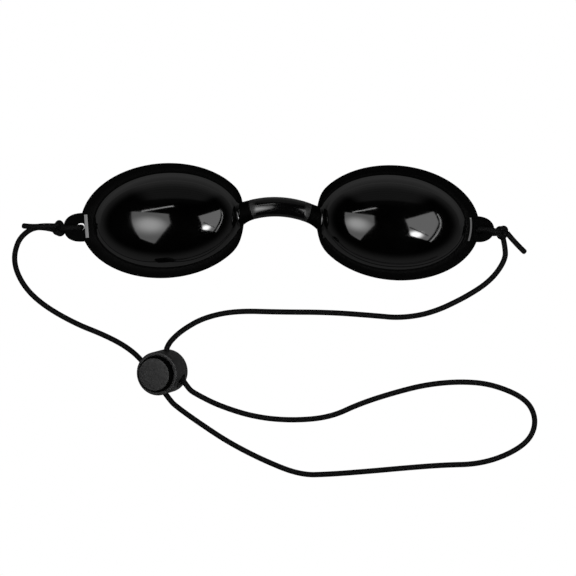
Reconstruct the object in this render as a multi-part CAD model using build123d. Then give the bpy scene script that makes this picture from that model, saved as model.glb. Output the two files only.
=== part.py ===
from build123d import *
import math
import os

os.makedirs("parts", exist_ok=True)

# Tanning goggles on an elastic cord with a two-hole cord lock. Millimetres, +Z up.
# The goggles lie on their rims at z = 0, domes up. The origin is midway between the two
# cups, +X runs along them and +Y points to the wearer's forehead. The cord lies on z = 0.

# Eyecups: one shell each, a flat rim band with a domed front, mirrored about X = 0
nose_gap = 21.8  # between the ends of the two ovals that the rims are cut from
cup_turn = 4.65  # degrees that the temple end hangs lower than the nose end
rim_length = 58.6
rim_width = 40.0
rim_nose_radius = 25.0  # the rim is flatter beside the nose bridge: an arc takes its end off
rim_nose_cut = 1.6  # what that arc takes off the oval's end
rim_nose_offset = 1.2  # of that arc's middle above the cup's own line
rim_nose_blend = 8.0  # round corner between that arc and the oval
rim_depth = 4.1  # from the face to the flat band round the dome
rim_round = 0.5
band_end = 3.4  # flat band round the dome, at the rim's ends
band_side = 3.0  # and along its sides
dome_rise = 13.0  # above the band
dome_shift = 0.9  # the dome stands nearer to the nose than the rim does
wall = 1.5
lip_end = 3.5  # what touches the face round the opening, at the rim's ends
lip_side = 2.2  # and along its sides
mouth_shift = 0.3

# Ears: a rounded tab at each temple end, raised so that the cord passes under it
ear_beyond = 5.5  # tip of the ear past the end of its rim
ear_length = 5.8  # of its rounded end
ear_width = 9.7
ear_floor = 2.1
ear_thickness = 1.5
ear_round = 0.35
ear_hole_length = 2.6
ear_hole_width = 2.4
ear_hole_corner = 0.7
ear_bar = 4.2  # what is left between the hole and the tip
ramp_length = 1.7  # slope from the band down to the ear
ramp_width = 8.1

# Nose bridge: a rounded bar bent round an arc that leans forward of the face
bridge_radius = 26.0
bridge_lean = 40.0  # degrees from level of the plane that the arc lies in
bridge_top_y = 4.9
bridge_top_z = 8.3
bridge_width = 6.8
bridge_thickness = 4.6
stub_stand = 2.5  # how far a stub's face stands out of its rim
stub_width = 9.0  # where the stub sinks into the dome
stub_thickness = 6.4
stub_length = 7.2
tongue_width = 4.4
tongue_thickness = 2.2
tongue_length = 2.8
tongue_clearance = 0.1
shoulder_gap = 0.1

# Elastic cord
cord_diameter = 1.9
floor_clearance = 0.02
lay = cord_diameter / 2 + floor_clearance  # height of the cord's middle on the surface

# Cord lock: a round barrel with two channels, a plunger and a spring
lock_x = -39.75  # middle between the two channels
lock_y = -52.5
lock_tilt = 20.0  # degrees that the barrel leans over
lock_lean_heading = 193.0  # plan direction of the lean, degrees from +X
channel_heading = -57.0  # plan direction of the channels, degrees from +X
barrel_diameter = 15.1
barrel_above = 6.6  # from the channels' middle to the barrel's open end
barrel_below = 4.0
barrel_floor = 0.8
barrel_round = 1.0
barrel_lip_round = 0.4
channel_diameter = 2.7
channel_offset = 4.4  # each channel from the barrel's middle
mouth_flare = 0.5  # how much wider a channel's radius is at the barrel's side
mouth_flare_length = 1.4
plunger_diameter = 12.4
plunger_clearance = 0.1
plunger_proud = 2.4
plunger_travel = 1.2
plunger_round = 0.8
grip_clearance = 0.05  # between the cord and the slot's gripping edge
grip_edge = 0.8  # material under the slot
stop_clearance = 0.1
slot_spare = 0.15
slot_corner = 0.6
spring_outside = 3.9
spring_wire = 0.5
spring_turns = 6
spring_length = 7.6
spring_clearance = 0.2
cord_spread_in = 0.2  # the cord leans across its channel, out at the strands' end
cord_spread_out = 0.3  # and in at the loop's end
channel_join = 3.0  # where a strand meets the loop's end, inside the lock
channel_bend = 5.5  # where a strand starts to bend, in the channel's mouth

# Knots, as long along the ear's axis, wide across it and high
left_knot_size = (4.7, 5.8, 4.0)
right_knot_size = (4.7, 5.0, 4.0)
knot_gap = 0.1  # between the ear's tip and a knot
knot_clearance = 0.1  # between a knot and the surface
hitch_beside = 0.05  # between the cord and the hole's lower side
hitch_behind = 0.15  # between the cord and the hole's inner end
hitch_over = 0.15  # between the ear and the cord above it
hitch_shoulder = 0.7  # how far past the ear's tip the upper leg runs level
hitch_run = 2.0  # from the ear's tip to a leg's end, inside the knot
hitch_end_rise = 0.9  # of the upper leg's end over the knot's middle
hitch_end_drop = 0.4  # of the lower leg's end under it

overrun = 1.0  # how far a cutting shape passes the face that it cuts


def arc_radii(points):
    """The largest arc that each corner's two runs allow, 0.45 of the shorter run long."""
    corners = [Vector(*p) for p in points]
    radii = []
    for before, corner, after in zip(corners, corners[1:], corners[2:]):
        run_in = corner - before
        run_out = after - corner
        half_turn = math.radians(run_in.get_angle(run_out)) / 2
        shorter = min(run_in.length, run_out.length)
        radii.append(0.45 * shorter / math.tan(half_turn))
    return radii


def cord_tube(name, points):
    """A round tube along straight runs joined by arcs."""
    radii = arc_radii(points)
    path = FilletPolyline(*points, radius=radii)
    start = Plane(origin=path @ 0, z_dir=path % 0)
    tube = sweep(start * Circle(cord_diameter / 2), path=path)
    expected = math.pi * cord_diameter**2 / 4 * path.length
    print(f"{name}: {path.length:.1f} long, volume {tube.volume:.2f} of {expected:.2f}")
    print("  radii", " ".join(f"{r:.1f}" for r in radii))
    return tube


def half_ellipsoid(length, width, height):
    """The upper half of an ellipsoid, its flat side down."""
    dome = Sphere(1, arc_size1=0, align=(Align.CENTER, Align.CENTER, Align.MIN))
    return scale(dome, by=(length / 2, width / 2, height))


def rounded_plate(outline, height, round_radius):
    """A flat plate with both its edges rounded."""
    plate = extrude(outline, height)
    levels = plate.edges().group_by(Axis.Z)
    return fillet(levels[0] + levels[-1], round_radius)


def rim_outline():
    """An oval with its nose end flattened to a wider arc."""
    oval = Ellipse(rim_length / 2, rim_width / 2)
    arc_middle = rim_nose_radius - (rim_length / 2 - rim_nose_cut)
    arc = Pos(arc_middle, rim_nose_offset) * Circle(rim_nose_radius)
    nose_side = Pos(arc_middle - rim_length / 2, 0) * Rectangle(rim_length, 2 * rim_width)
    outline = oval - (nose_side - arc)
    corners = outline.vertices().filter_by(lambda v: v.X < arc_middle)
    return fillet(corners, rim_nose_blend)


def cup_middle():
    """The middle of a cup from the middle of the goggles."""
    return (rim_length + nose_gap) / 2


def ear_reach():
    """The tip of the ear from the middle of its cup."""
    return rim_length / 2 + ear_beyond


def dome_length():
    return rim_length - 2 * band_end


def dome_width():
    return rim_width - 2 * band_side


def cup_cavity():
    """The hollow of a cup: wide at the face, then the dome's inside."""
    length = dome_length() - 2 * wall
    width = dome_width() - 2 * wall
    throat = Pos(-dome_shift, 0, rim_depth) * Ellipse(length / 2, width / 2)
    mouth_outline = Ellipse(rim_length / 2 - lip_end, rim_width / 2 - lip_side)
    mouth = Pos(-mouth_shift, 0, 0) * mouth_outline
    inner_dome = Pos(-dome_shift, 0, rim_depth) * half_ellipsoid(length, width, dome_rise - wall)
    return loft([mouth, throat]) + inner_dome


def ear_top():
    return ear_floor + ear_thickness


def ear_hole_end():
    """The end of the ear's hole that is nearest to the dome, from the middle of the cup."""
    return ear_reach() - ear_bar - ear_hole_length


def ear_hole():
    middle = ear_hole_end() + ear_hole_length / 2
    outline = RectangleRounded(ear_hole_length, ear_hole_width, ear_hole_corner)
    return Pos(middle, 0, -overrun) * extrude(outline, rim_depth + 2 * overrun)


def ear_ramp():
    """What is cut from the band to slope it down to the ear."""
    start = ear_hole_end() - ramp_length
    profile = make_face(
        Polyline(
            (start, 0, rim_depth),
            (ear_hole_end(), 0, ear_top()),
            (ear_reach() + overrun, 0, ear_top()),
            (ear_reach() + overrun, 0, rim_depth + overrun),
            (start, 0, rim_depth + overrun),
            close=True,
        )
    )
    return extrude(profile, ramp_width / 2, dir=(0, 1, 0), both=True)


def bridge_axis():
    """The axis that the bridge's arc turns about. A positive turn goes towards -X."""
    lean = math.radians(bridge_lean)
    centre = (
        0,
        bridge_top_y - bridge_radius * math.cos(lean),
        bridge_top_z - bridge_radius * math.sin(lean),
    )
    return Axis(centre, (0, -math.sin(lean), math.cos(lean)))


def bridge_angle(x):
    """The turn, in degrees, that takes the middle of the bridge to this distance from it."""
    return math.degrees(math.asin(x / bridge_radius))


def bridge_half_span():
    """The joint between bridge and stub from the middle of the goggles."""
    return nose_gap / 2 + rim_nose_cut - stub_stand


def bridge_section(width, thickness, angle, beyond=0):
    """The bar's section, turned along the arc towards the right cup, then moved straight on."""
    origin = (beyond, bridge_top_y, bridge_top_z)
    middle = Plane(origin=origin, x_dir=(0, 1, 0), z_dir=(1, 0, 0))
    return (middle * Ellipse(width / 2, thickness / 2)).rotate(bridge_axis(), -angle)


def bridge_bar(width, thickness, from_angle, to_angle):
    """A bar of one section along the arc, between two turns towards the right cup."""
    section = bridge_section(width, thickness, to_angle)
    return revolve(section, axis=bridge_axis(), revolution_arc=to_angle - from_angle)


def nose_stub():
    """The bar that stands out of the right cup, with the pocket for the bridge's tongue."""
    face = bridge_angle(bridge_half_span())
    sections = [
        bridge_section(bridge_width, bridge_thickness, face),
        bridge_section(stub_width, stub_thickness, face, stub_length),
    ]
    return loft(sections)


def nose_pocket():
    depth = bridge_half_span() + tongue_length + tongue_clearance
    width = tongue_width + 2 * tongue_clearance
    thickness = tongue_thickness + 2 * tongue_clearance
    mouth = bridge_angle(bridge_half_span() - overrun)
    return bridge_bar(width, thickness, mouth, bridge_angle(depth))


def cup_place():
    """Where the right cup's own frame lies: x outwards along its length."""
    return Pos(cup_middle(), 0, 0) * Rot(0, 0, -cup_turn)


def right_eyecup():
    rim = rounded_plate(rim_outline(), rim_depth, rim_round)
    lump = half_ellipsoid(dome_length(), dome_width(), dome_rise)
    dome = Pos(-dome_shift, 0, rim_depth) * lump
    ear_middle = ear_reach() - ear_length
    ear_root = Pos(-ear_length / 2, 0) * Rectangle(ear_length, ear_width)
    ear_outline = Ellipse(ear_length, ear_width / 2) + ear_root
    ear_plate = rounded_plate(ear_outline, ear_thickness, ear_round)
    ear = Pos(ear_middle, 0, ear_floor) * ear_plate
    shell = cup_place() * (rim - ear_ramp() + ear + dome)
    shell = shell + nose_stub()
    shell = shell - cup_place() * cup_cavity()
    return shell - cup_place() * ear_hole() - nose_pocket()


def nose_bridge():
    shoulder = bridge_angle(bridge_half_span() - shoulder_gap)
    tip = bridge_angle(bridge_half_span() + tongue_length)
    bar = bridge_bar(bridge_width, bridge_thickness, -shoulder, shoulder)
    return bar + bridge_bar(tongue_width, tongue_thickness, -tip, tip)


def knot_middle(size):
    """The middle of a knot, in its cup's frame."""
    return (ear_reach() + knot_gap + size[0] / 2, 0, size[2] / 2 + knot_clearance)


def knot(size):
    """The outer shape of a knot, on the right side."""
    lump = scale(Sphere(1), by=(size[0] / 2, size[1] / 2, size[2] / 2))
    return cup_place() * Pos(*knot_middle(size)) * lump


def ear_hitch(name, size):
    """The cord's turn through the right ear: over the bar, down the hole and back under."""
    over = ear_top() + hitch_over + cord_diameter / 2
    inner = ear_hole_end() + hitch_behind + cord_diameter / 2
    hitch_side = ear_hole_width / 2 - hitch_beside - cord_diameter / 2
    middle = knot_middle(size)[2]
    route = [
        (ear_reach() + hitch_run, 0, middle + hitch_end_rise),
        (ear_reach() + hitch_shoulder, -hitch_side, over),
        (inner, -hitch_side, over),
        (inner, -hitch_side, lay),
        (ear_reach() + hitch_shoulder, -hitch_side, lay),
        (ear_reach() + hitch_run, 0, middle - hitch_end_drop),
    ]
    return cup_place() * cord_tube(name, route)


def lock_plane():
    """The lock's own frame: x along the channels to the loop, z out of the button."""
    tilt = math.radians(lock_tilt)
    lean = math.radians(lock_lean_heading)
    heading = math.radians(channel_heading)
    out = Vector(math.sin(tilt) * math.cos(lean), math.sin(tilt) * math.sin(lean), math.cos(tilt))
    level = Vector(math.cos(heading), math.sin(heading), 0)
    along = Vector(level.X, level.Y, -level.dot(out) / out.Z)
    inner_radius = barrel_diameter / 2 - barrel_round
    inner_depth = barrel_below - barrel_round
    height = inner_depth * math.cos(tilt) + inner_radius * math.sin(tilt) + barrel_round
    centre = (lock_x, lock_y, height + floor_clearance)
    return Plane(origin=centre, x_dir=along, z_dir=out)


def lock_point(x, y):
    """A point between the lock's channels, in the part's frame."""
    found = lock_plane().from_local_coords(Vector(x, y, 0))
    return (found.X, found.Y, found.Z)


def barrel_reach():
    """Half the length of a channel."""
    return math.sqrt((barrel_diameter / 2) ** 2 - channel_offset**2)


def cord_in_lock(x, side):
    """A point of the cord inside the lock: side is -1 for the left strand and 1 for the right."""
    share = (x + channel_bend) / (barrel_reach() + channel_bend)
    spread = cord_spread_in + share * (-cord_spread_out - cord_spread_in)
    return lock_point(x, side * (channel_offset + spread))


def lock_body():
    length = barrel_above + barrel_below
    barrel = Cylinder(barrel_diameter / 2, length, align=(Align.CENTER, Align.CENTER, Align.MIN))
    ends = barrel.edges().filter_by(GeomType.CIRCLE).sort_by(Axis.Z)
    barrel = fillet(ends[0], barrel_round)
    ends = barrel.edges().filter_by(GeomType.CIRCLE).sort_by(Axis.Z)
    barrel = fillet(ends[-1], barrel_lip_round)
    barrel = Pos(0, 0, -barrel_below) * barrel
    bore_radius = plunger_diameter / 2 + plunger_clearance
    bore = Cylinder(bore_radius, length, align=(Align.CENTER, Align.CENTER, Align.MIN))
    barrel = barrel - Pos(0, 0, barrel_floor - barrel_below) * bore
    radius = channel_diameter / 2
    channel = Rot(0, 90, 0) * Cylinder(radius, barrel_diameter + overrun)
    flare = Cone(radius, radius + mouth_flare, mouth_flare_length)
    mouth = barrel_reach() - mouth_flare_length / 2 + mouth_flare
    for side in (-1, 1):
        barrel = barrel - Pos(0, side * channel_offset, 0) * channel
        barrel = barrel - Pos(mouth, side * channel_offset, 0) * Rot(0, 90, 0) * flare
        barrel = barrel - Pos(-mouth, side * channel_offset, 0) * Rot(0, -90, 0) * flare
    return lock_plane() * barrel


def plunger_slot():
    """A channel through the plunger: its lower edge grips the cord when the button is let go."""
    bottom = -cord_diameter / 2 - grip_clearance
    top = cord_diameter / 2 + plunger_travel + slot_spare
    outline = RectangleRounded(channel_diameter, top - bottom, slot_corner)
    across = Plane(origin=(0, 0, (top + bottom) / 2), x_dir=(0, 1, 0), z_dir=(1, 0, 0))
    return extrude(across * outline, plunger_diameter / 2 + overrun, both=True)


def plunger_foot():
    """The plunger's lower end: its spring pushes it up until the slots grip the cord."""
    return -cord_diameter / 2 - grip_clearance - grip_edge


def spring_seat():
    """The height of the barrel's floor, which the spring stands on."""
    return barrel_floor - barrel_below


def lock_plunger():
    length = barrel_above + plunger_proud - plunger_foot()
    pin = Cylinder(plunger_diameter / 2, length, align=(Align.CENTER, Align.CENTER, Align.MIN))
    ends = pin.edges().filter_by(GeomType.CIRCLE).sort_by(Axis.Z)
    pin = Pos(0, 0, plunger_foot()) * fillet(ends[-1], plunger_round)
    for side in (-1, 1):
        pin = pin - Pos(0, side * channel_offset, 0) * plunger_slot()
    well_radius = spring_outside / 2 + spring_clearance
    well_top = spring_seat() + spring_length + spring_clearance
    well = Cylinder(well_radius, well_top - plunger_foot() + overrun)
    pin = pin - Pos(0, 0, (well_top + plunger_foot() - overrun) / 2) * well
    return lock_plane() * pin


def lock_spring():
    coil_radius = (spring_outside - spring_wire) / 2
    rise = spring_length - spring_wire
    line = Helix(pitch=rise / spring_turns, height=rise, radius=coil_radius)
    start = Plane(origin=line @ 0, z_dir=line % 0)
    coil = sweep(start * Circle(spring_wire / 2), path=line, is_frenet=True)
    return lock_plane() * Pos(0, 0, spring_seat() + spring_wire / 2 + stop_clearance) * coil


# The cord's route, chosen by hand along the photographed curve: x, y and the height of its
# middle. Its ends at the ears go with the ears when the cups are made longer or set wider.
ears_drawn = 75.0  # an ear's tip from the middle of the goggles, in these routes
held_left = -47.7  # where the left strand keeps its place, at the lock
held_right = 8.75  # and the right strand, halfway along


def ears_moved():
    """How much further out the ears are than in the routes."""
    return cup_middle() + ear_reach() - ears_drawn


def led_left(x, y, z=lay):
    """A point of the cord left of the lock, moved with the ear the more the nearer it is."""
    share = min((x - held_left) / (-ears_drawn - held_left), 1)
    return (x - share * ears_moved(), y, z)


def led_right(x, y, z=lay):
    """A point of the cord right of the strand's middle, moved in the same way."""
    share = min((x - held_right) / (ears_drawn - held_right), 1)
    return (x + share * ears_moved(), y, z)


left_strand_route = [
    led_left(-78.0, -3.7, 1.7),
    led_left(-81.8, -2.8, 1.2),
    led_left(-86.0, -2.75),
    led_left(-89.5, -5.0),
    led_left(-91.8, -8.2),
    led_left(-93.0, -13.7),
    led_left(-91.5, -19.6),
    led_left(-87.3, -25.8),
    led_left(-80.3, -31.3),
    led_left(-70.5, -36.5),
    led_left(-62.1, -39.7),
    led_left(-55.4, -42.9, 1.3),
    led_left(-50.7, -46.0, 2.4),
    led_left(-47.7, -48.9, 3.3),
    cord_in_lock(-channel_bend, -1),
    cord_in_lock(-channel_join, -1),
]
right_strand_inner_route = [
    cord_in_lock(-channel_join, 1),
    cord_in_lock(-channel_bend, 1),
    (-38.5, -43.4, 6.4),
    (-37.2, -41.4, 5.7),
    (-33.6, -38.0, 4.1),
    (-26.4, -33.7, 1.6),
    (-15.4, -31.2, lay),
    (0.3, -31.5, lay),
    (held_right, -31.45, lay),
]
right_strand_outer_route = [
    (held_right, -31.45, lay),
    led_right(17.2, -31.4),
    led_right(33.0, -32.4),
    led_right(42.3, -33.2),
    led_right(53.1, -31.4),
    led_right(64.7, -25.9),
    led_right(73.9, -19.8),
    led_right(78.9, -12.5),
    led_right(78.7, -7.8, 1.1),
    led_right(77.7, -4.1, 1.7),
]
adjusting_loop_route = [
    cord_in_lock(-channel_join, 1),
    cord_in_lock(barrel_reach() + channel_join, 1),
    (-28.0, -60.4, 7.2),
    (-20.2, -64.4, 4.4),
    (-8.0, -68.3, 1.4),
    (5.0, -69.4, lay),
    (18.2, -68.1, lay),
    (28.5, -63.2, lay),
    (40.6, -59.2, lay),
    (52.2, -56.2, lay),
    (64.4, -55.1, lay),
    (75.1, -56.1, lay),
    (86.6, -60.9, lay),
    (90.3, -68.0, lay),
    (88.2, -75.3, lay),
    (80.3, -80.7, lay),
    (69.9, -84.0, lay),
    (57.8, -84.4, lay),
    (45.1, -85.5, lay),
    (32.1, -86.8, lay),
    (18.4, -88.0, lay),
    (7.9, -88.4, lay),
    (-5.2, -83.3, lay),
    (-17.5, -77.1, lay),
    (-28.2, -70.0, 1.9),
    (-34.9, -65.1, 4.1),
    cord_in_lock(barrel_reach() + channel_join, -1),
    cord_in_lock(-channel_join, -1),
]
left_tail_route = [
    led_left(-78.0, -2.3, 3.1),
    led_left(-81.5, -2.1, 3.0),
    led_left(-86.4, -2.7, 2.95),
    led_left(-90.0, -2.2, 2.9),
]
right_tail_route = [
    led_right(79.2, -3.2, 2.9),
    led_right(81.9, -6.4, 2.0),
    led_right(85.9, -10.0),
]

parts = {
    "left_eyecup": mirror(right_eyecup(), about=Plane.YZ),
    "right_eyecup": right_eyecup(),
    "nose_bridge": nose_bridge(),
    "left_ear_hitch": mirror(ear_hitch("left_ear_hitch", left_knot_size), about=Plane.YZ),
    "right_ear_hitch": ear_hitch("right_ear_hitch", right_knot_size),
    "left_knot": mirror(knot(left_knot_size), about=Plane.YZ),
    "right_knot": knot(right_knot_size),
    "left_tail": cord_tube("left_tail", left_tail_route),
    "right_tail": cord_tube("right_tail", right_tail_route),
    "left_strand": cord_tube("left_strand", left_strand_route),
    "right_strand_inner": cord_tube("right_strand_inner", right_strand_inner_route),
    "right_strand_outer": cord_tube("right_strand_outer", right_strand_outer_route),
    "adjusting_loop": cord_tube("adjusting_loop", adjusting_loop_route),
    "lock_body": lock_body(),
    "lock_plunger": lock_plunger(),
    "lock_spring": lock_spring(),
}
for name, part in parts.items():
    export_step(part, f"parts/{name}.step")
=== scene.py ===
import bpy
import numpy as np
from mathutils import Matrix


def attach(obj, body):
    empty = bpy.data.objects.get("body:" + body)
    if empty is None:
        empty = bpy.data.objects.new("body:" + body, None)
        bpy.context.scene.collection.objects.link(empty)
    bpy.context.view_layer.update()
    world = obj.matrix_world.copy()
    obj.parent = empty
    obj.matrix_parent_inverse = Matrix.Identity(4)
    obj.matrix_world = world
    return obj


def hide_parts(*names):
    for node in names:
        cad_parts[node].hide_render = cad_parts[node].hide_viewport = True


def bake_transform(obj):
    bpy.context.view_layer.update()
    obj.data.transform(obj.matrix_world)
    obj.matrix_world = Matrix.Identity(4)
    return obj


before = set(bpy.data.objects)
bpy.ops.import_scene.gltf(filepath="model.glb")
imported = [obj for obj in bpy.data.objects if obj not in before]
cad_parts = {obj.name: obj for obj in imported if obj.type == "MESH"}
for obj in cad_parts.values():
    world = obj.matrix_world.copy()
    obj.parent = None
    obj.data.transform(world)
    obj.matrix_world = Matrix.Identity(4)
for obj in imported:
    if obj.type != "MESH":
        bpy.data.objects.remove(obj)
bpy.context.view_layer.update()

# The camera. It looks straight down on the goggles from 70 cm, a little off their middle
# and turned half a degree.
camera_data = bpy.data.cameras.new("overhead_camera")
camera_data.lens = 125.0
camera_data.sensor_width = 36.0
camera_data.clip_start = 0.01
camera_data.dof.use_dof = False
camera = bpy.data.objects.new("overhead_camera", camera_data)
camera.location = (0.00297, -0.02306, 0.700)
camera.rotation_euler = (0.0, 0.0, np.radians(0.55))
bpy.context.scene.collection.objects.link(camera)
bpy.context.scene.camera = camera

# The elastic cord: rubber strands in a braided black textile sleeve, 1.9 mm across. It is
# one cord, knotted to both ears, that runs twice through the lock and lies on the table.
cord_diameter = 0.0019
cord_radius = cord_diameter / 2
cord_lay = 0.00097

left_strand_route = [
    (-0.0780, -0.0037, 0.0017),
    (-0.0818, -0.0028, 0.0012),
    (-0.0860, -0.00275, cord_lay),
    (-0.0895, -0.0050, cord_lay),
    (-0.0918, -0.0082, cord_lay),
    (-0.0930, -0.0137, cord_lay),
    (-0.0915, -0.0196, cord_lay),
    (-0.0873, -0.0258, cord_lay),
    (-0.0803, -0.0313, cord_lay),
    (-0.0705, -0.0365, cord_lay),
    (-0.0621, -0.0397, cord_lay),
    (-0.0554, -0.0429, 0.0013),
    (-0.0507, -0.0460, 0.0024),
    (-0.0477, -0.0489, 0.0033),
    (-0.046276, -0.050448, 0.003933),
    (-0.044842, -0.052470, 0.004276),
]
right_strand_inner_route = [
    (-0.037901, -0.047537, 0.007142),
    (-0.039169, -0.045397, 0.006867),
    (-0.0385, -0.0434, 0.0064),
    (-0.0372, -0.0414, 0.0057),
    (-0.0336, -0.0380, 0.0041),
    (-0.0264, -0.0337, 0.0016),
    (-0.0154, -0.0312, cord_lay),
    (0.0003, -0.0315, cord_lay),
    (0.00875, -0.03145, cord_lay),
]
right_strand_outer_route = [
    (0.00875, -0.03145, cord_lay),
    (0.0172, -0.0314, cord_lay),
    (0.0330, -0.0324, cord_lay),
    (0.0423, -0.0332, cord_lay),
    (0.0531, -0.0314, cord_lay),
    (0.0647, -0.0259, cord_lay),
    (0.0739, -0.0198, cord_lay),
    (0.0789, -0.0125, cord_lay),
    (0.0787, -0.0078, 0.0011),
    (0.0777, -0.0041, 0.0017),
]
adjusting_loop_route = [
    (-0.037901, -0.047537, 0.007142),
    (-0.031745, -0.057923, 0.008474),
    (-0.0280, -0.0604, 0.0072),
    (-0.0202, -0.0644, 0.0044),
    (-0.0080, -0.0683, 0.0014),
    (0.0050, -0.0694, cord_lay),
    (0.0182, -0.0681, cord_lay),
    (0.0285, -0.0632, cord_lay),
    (0.0406, -0.0592, cord_lay),
    (0.0522, -0.0562, cord_lay),
    (0.0644, -0.0551, cord_lay),
    (0.0751, -0.0561, cord_lay),
    (0.0866, -0.0609, cord_lay),
    (0.0903, -0.0680, cord_lay),
    (0.0882, -0.0753, cord_lay),
    (0.0803, -0.0807, cord_lay),
    (0.0699, -0.0840, cord_lay),
    (0.0578, -0.0844, cord_lay),
    (0.0451, -0.0855, cord_lay),
    (0.0321, -0.0868, cord_lay),
    (0.0184, -0.0880, cord_lay),
    (0.0079, -0.0884, cord_lay),
    (-0.0052, -0.0833, cord_lay),
    (-0.0175, -0.0771, cord_lay),
    (-0.0282, -0.0700, 0.0019),
    (-0.0349, -0.0651, 0.0041),
    (-0.037881, -0.062283, 0.005941),
    (-0.044842, -0.052470, 0.004276),
]


def cord_line(name, route):
    """The smooth line of a cord: a NURBS spline of order 3 with the route's points as its
    control points, which starts and ends at the route's own ends."""
    curve = bpy.data.curves.new(name + "_line", "CURVE")
    curve.dimensions = "3D"
    curve.resolution_u = 32
    spline = curve.splines.new("NURBS")
    spline.points.add(len(route) - 1)
    for point, place in zip(spline.points, route):
        point.co = (*place, 1.0)
    spline.order_u = 3
    spline.use_endpoint_u = True
    carrier = bpy.data.objects.new(name + "_line", curve)
    drawn = bpy.data.meshes.new_from_object(carrier)
    line = np.empty(3 * len(drawn.vertices))
    drawn.vertices.foreach_get("co", line)
    bpy.data.objects.remove(carrier)
    bpy.data.curves.remove(curve)
    bpy.data.meshes.remove(drawn)
    return line.reshape(-1, 3)


def run_length(line):
    """Length from the line's start to each of its points: the sum of its steps."""
    return np.concatenate([[0.0], np.cumsum(np.linalg.norm(np.diff(line, axis=0), axis=1))])


def even_rows(line, spacing):
    """Points on the line at an even spacing, for the rows of a tube's mesh."""
    along = run_length(line)
    rows = np.linspace(0.0, along[-1], max(2, int(round(along[-1] / spacing)) + 1))
    return np.stack([np.interp(rows, along, line[:, k]) for k in range(3)], axis=1)


def unit(vectors):
    """Each vector divided by its length."""
    return vectors / np.linalg.norm(vectors, axis=-1, keepdims=True)


def skin(name, rings, ends="caps", turned=False, crisp=40.0, uv=None):
    """An object over rings[i, j]: a four-sided face between every two neighbouring rings,
    each ring closed. With ends "caps" a fan closes the first and last ring, and with ends
    "loop" the last ring joins the first. turned reverses the faces. Edges sharper than
    crisp degrees stay sharp. uv is an (along, around) pair of extents for a UV map."""
    count, around = rings.shape[:2]
    points = rings.reshape(-1, 3)
    column = np.arange(around)
    following = (column + 1) % around
    row = np.arange(count if ends == "loop" else count - 1)[:, None]
    after = (row + 1) % count
    faces = np.stack(
        [row * around + column, row * around + following,
         after * around + following, after * around + column], axis=-1
    ).reshape(-1, 4)
    unrolled = np.stack(np.broadcast_arrays(
        np.stack([column, column + 1, column + 1, column], axis=-1)[None],
        np.stack([row, row, row + 1, row + 1], axis=-1)), axis=-1).reshape(-1, 2)
    if turned:
        faces, unrolled = faces[:, ::-1], unrolled.reshape(-1, 4, 2)[:, ::-1].reshape(-1, 2)
    made = faces.tolist()
    if ends == "caps":
        first, last = len(points), len(points) + 1
        points = np.vstack([points, rings[0].mean(axis=0), rings[-1].mean(axis=0)])
        base = (count - 1) * around
        fans = np.stack([following, column, np.full(around, first)], axis=-1)
        tops = np.stack([base + column, base + following, np.full(around, last)], axis=-1)
        cap_uv = np.concatenate([
            np.stack([column[:, None] + np.array(corners), np.full((around, 3), height)], -1)
            for corners, height in (((1, 0, 0.5), 0), ((0, 1, 0.5), count - 1))])
        caps = np.vstack([fans, tops])
        if turned:
            caps, cap_uv = caps[:, ::-1], cap_uv[:, ::-1]
        made += caps.tolist()
        unrolled = np.vstack([unrolled, cap_uv.reshape(-1, 2)])
    mesh = bpy.data.meshes.new(name)
    mesh.from_pydata(points.tolist(), [], made)
    if uv is not None:
        layer = mesh.uv_layers.new(name="UVMap")
        steps = count if ends == "loop" else count - 1
        layer.data.foreach_set(
            "uv", (unrolled * np.array([uv[1] / around, uv[0] / steps])).ravel())
    mesh.polygons.foreach_set("use_smooth", np.ones(len(mesh.polygons), bool))
    mesh.set_sharp_from_angle(angle=np.radians(crisp))
    obj = bpy.data.objects.new(name, mesh)
    bpy.context.scene.collection.objects.link(obj)
    return obj


def tube_rings(line, radius, reference, sides=20):
    """Circles square to a line: each has its first point towards the reference direction,
    less the part of it that runs along the line. radius is one length, or one a point."""
    along = unit(np.gradient(line, axis=0))
    reference = np.broadcast_to(reference, line.shape)
    first = unit(reference - along * np.sum(reference * along, axis=1, keepdims=True))
    second = np.cross(along, first)
    turn = np.linspace(0.0, 2 * np.pi, sides, endpoint=False)[None, :, None]
    radius = np.broadcast_to(radius, (len(line),))[:, None, None]
    spoke = first[:, None] * np.cos(turn) + second[:, None] * np.sin(turn)
    return line[:, None] + radius * spoke


def node(tree, kind, **values):
    """A shader node with its settings, input values and links by name, or for inputs also
    by number: i0, i1 and so on. A link is a socket."""
    made = tree.nodes.new(kind)
    for name, value in values.items():
        if name in made.bl_rna.properties:
            setattr(made, name, value)
            continue
        key = int(name[1:]) if name[0] == "i" and name[1:].isdigit() else name.replace("_", " ")
        socket = made.inputs[key]
        if isinstance(value, bpy.types.NodeSocket):
            tree.links.new(value, socket)
        else:
            socket.default_value = value
    return made


def reckon(tree, operation, *values):
    """One step of arithmetic on numbers or sockets, as a Math node's output."""
    values = {f"i{k}": value for k, value in enumerate(values)}
    return node(tree, "ShaderNodeMath", operation=operation, **values).outputs[0]


def spread(tree, value, start, end, low, high, kind="LINEAR"):
    """A value that goes from low to high while another goes from start to end."""
    return node(tree, "ShaderNodeMapRange", interpolation_type=kind, Value=value, i1=start,
                i2=end, i3=low, i4=high).outputs[0]


def group(name, inputs, outputs):
    """An empty shader node group: inputs are (title, kind, value), outputs (title, kind)."""
    tree = bpy.data.node_groups.new(name, "ShaderNodeTree")
    for title, kind, value in inputs:
        socket = tree.interface.new_socket(title, in_out="INPUT",
                                           socket_type="NodeSocket" + kind)
        if value is not None:
            socket.default_value = value
    for title, kind in outputs:
        tree.interface.new_socket(title, in_out="OUTPUT", socket_type="NodeSocket" + kind)
    return tree, tree.nodes.new("NodeGroupInput"), tree.nodes.new("NodeGroupOutput")


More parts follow.
